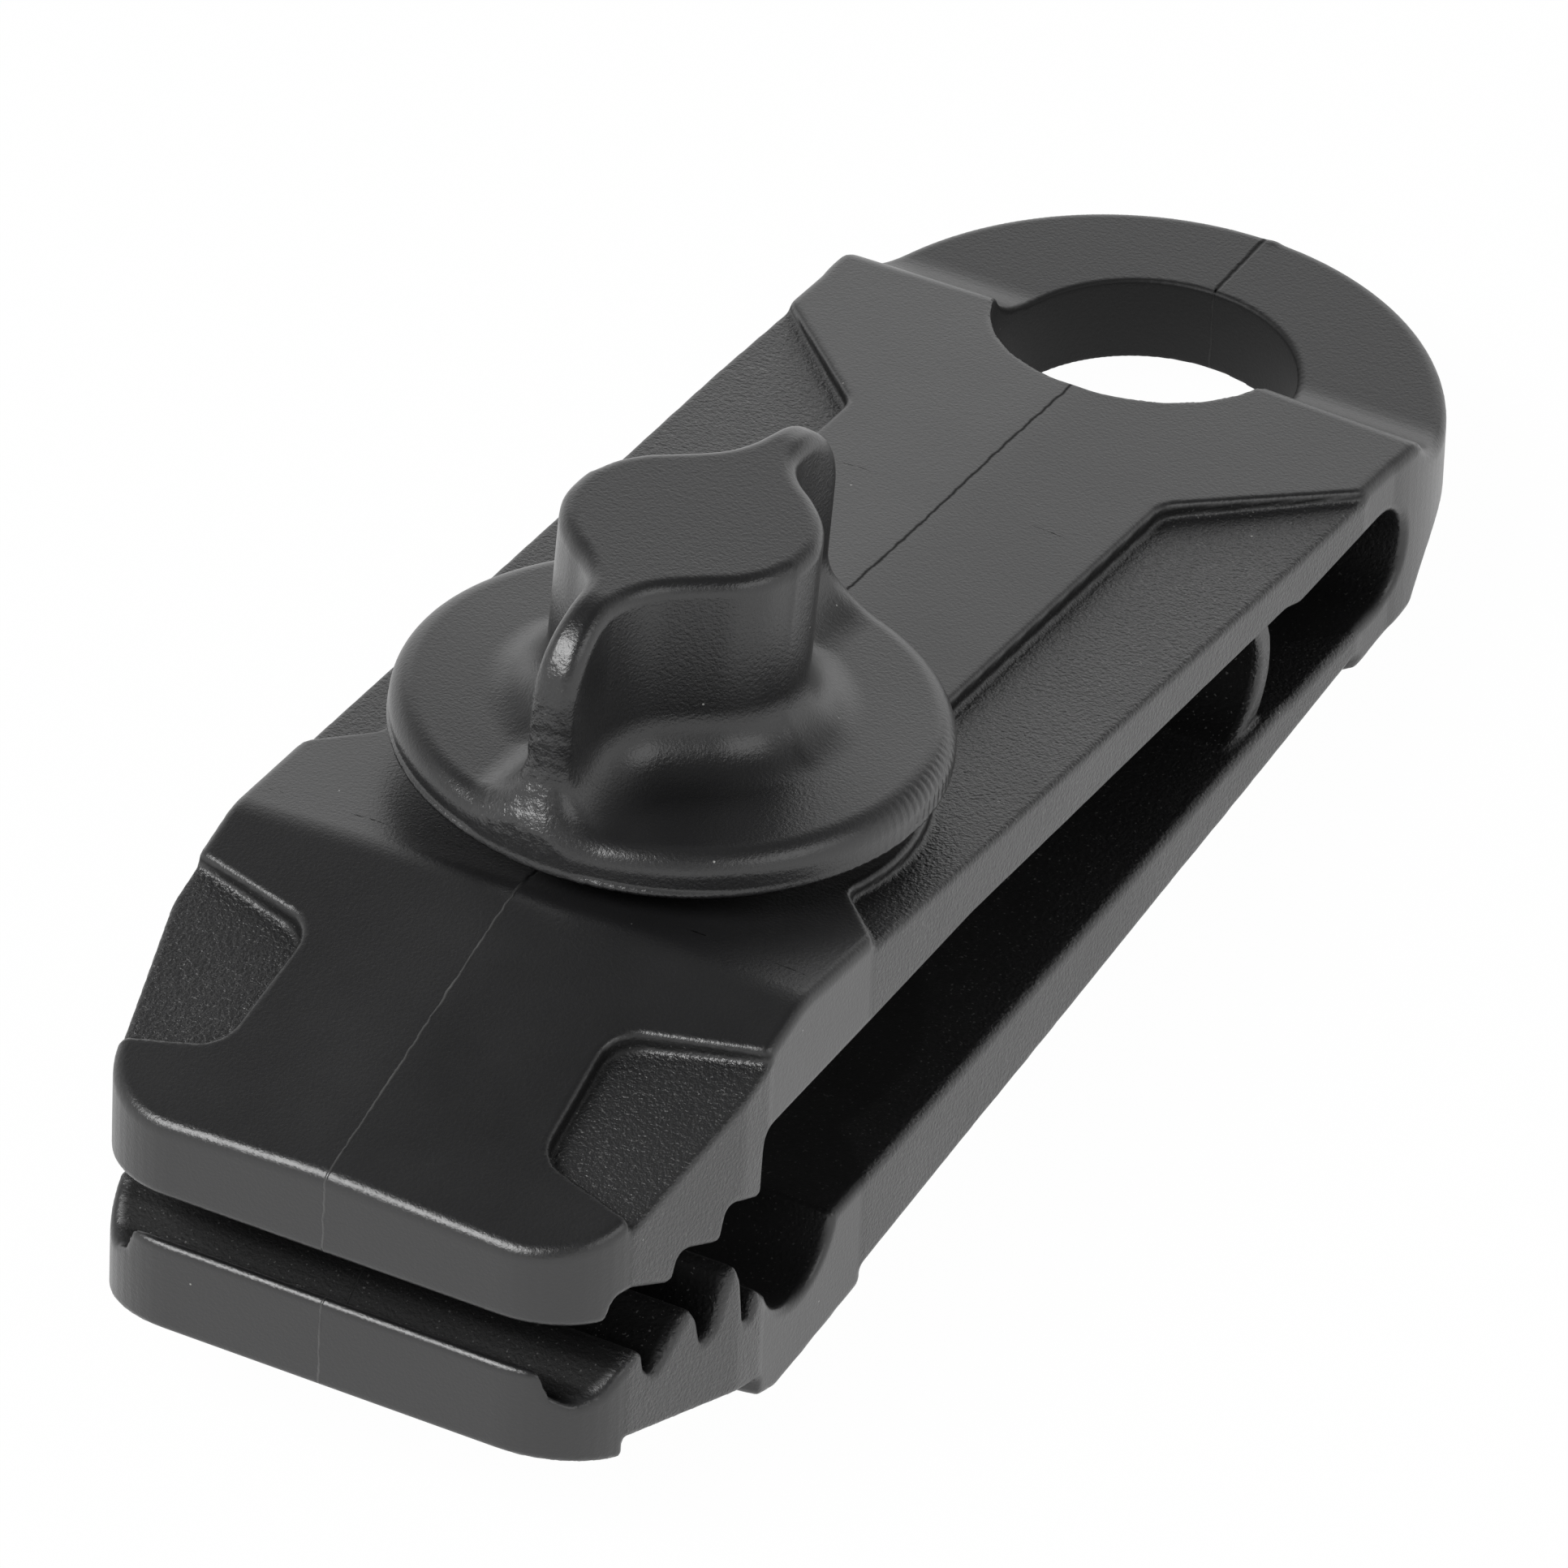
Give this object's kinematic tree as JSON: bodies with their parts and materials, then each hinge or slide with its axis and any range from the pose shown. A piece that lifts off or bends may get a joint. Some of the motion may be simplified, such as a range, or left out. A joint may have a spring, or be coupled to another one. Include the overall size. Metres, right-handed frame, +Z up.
{
  "type": "tarp clip",
  "caption": "Long flat moulded clip with toothed jaws on a flexing back, closed by a winged screw through both arms, with a round eyelet at the rear end.",
  "frame": {"origin": "middle of the bounding box's footprint, on the plane that the flat underside of the lower arm lies on", "axes": "+Y towards the eyelet along the clip, -Y towards the jaw lips, +X across it, +Z up through the wing screw"},
  "size_m": [0.0304, 0.0908, 0.0327],
  "materials": {
    "body": "fine sand-blasted black",
    "knob": "satin black",
    "screw": "zinc plated",
    "nut": "zinc plated"
  },
  "bodies": {
    "lower_frame": {"lower_jaw": "body", "captive_nut": "nut"},
    "upper_arm": {"upper_jaw": "body"},
    "thumb_screw": {"wing_knob": "knob", "clamp_screw": "screw"}
  },
  "joints": [
    {"name": "jaw_close", "type": "hinge", "parent": "lower_frame", "child": "upper_arm", "pos_m": [0, 0.01434, 0.00609], "axis": [1, 0, 0], "range_deg": [-2, 2.4], "stiffness_Nm_per_rad": 0.1},
    {"name": "knob_turn", "type": "hinge", "parent": "upper_arm", "child": "thumb_screw", "pos_m": [0, -0.01483, 0.00888], "axis": [-0.0419, -0.1245, -0.9913], "range_deg": [-455, 550]}
  ],
  "couplings": [
    {"joint": "jaw_close", "follows": "knob_turn", "ratio": 0.004346}
  ]
}
